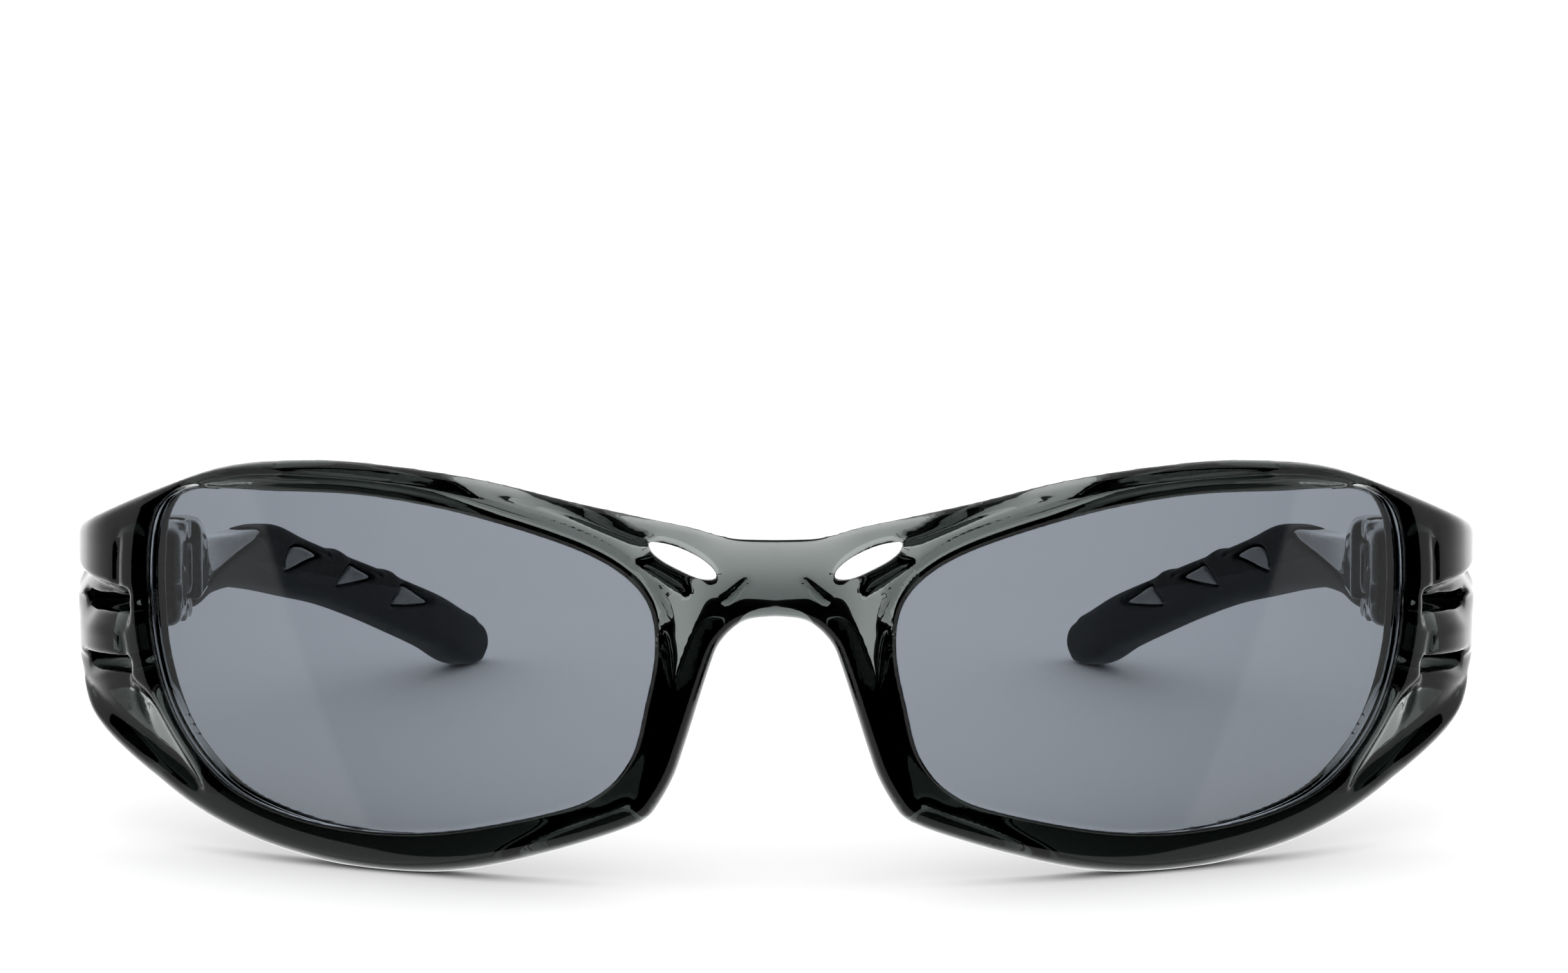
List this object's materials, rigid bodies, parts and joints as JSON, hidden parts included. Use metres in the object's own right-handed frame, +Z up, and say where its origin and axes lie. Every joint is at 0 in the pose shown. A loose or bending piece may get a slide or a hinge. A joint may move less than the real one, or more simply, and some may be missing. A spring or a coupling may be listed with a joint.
{
  "type": "safety glasses",
  "caption": "Wrap-around safety glasses: smoke plastic front, tinted lenses, soft nose saddle, folding temples with rubber sleeves.",
  "frame": {"origin": "centre of the bounding box on the surface the glasses stand on", "axes": "+Z up; the lenses face -Y and the temples run towards +Y; +X is the wearer's left"},
  "size_m": [0.1376, 0.1458, 0.0393],
  "materials": {
    "smoke_plastic": "glossy, translucent dark smoke",
    "lens_tint": "polished, blue-grey tint",
    "black_rubber": "matte black",
    "screw_steel": "machined",
    "insert_brass": "machined"
  },
  "bodies": {
    "front": {"front_frame": "smoke_plastic", "left_lens": "lens_tint", "right_lens": "lens_tint", "nose_saddle": "black_rubber", "left_hinge_screw": "screw_steel", "right_hinge_screw": "screw_steel", "left_hinge_insert": "insert_brass", "right_hinge_insert": "insert_brass"},
    "left_temple": {"left_temple_arm": "smoke_plastic", "left_temple_sleeve": "black_rubber"},
    "right_temple": {"right_temple_arm": "smoke_plastic", "right_temple_sleeve": "black_rubber"}
  },
  "joints": [
    {"name": "left_hinge", "type": "hinge", "parent": "front", "child": "left_temple", "pos_m": [0.0606, -0.0289, 0.02475], "axis": [0, 0, 1], "range_deg": [0, 85]},
    {"name": "right_hinge", "type": "hinge", "parent": "front", "child": "right_temple", "pos_m": [-0.0606, -0.0289, 0.02475], "axis": [0, 0, -1], "range_deg": [0, 76]}
  ]
}
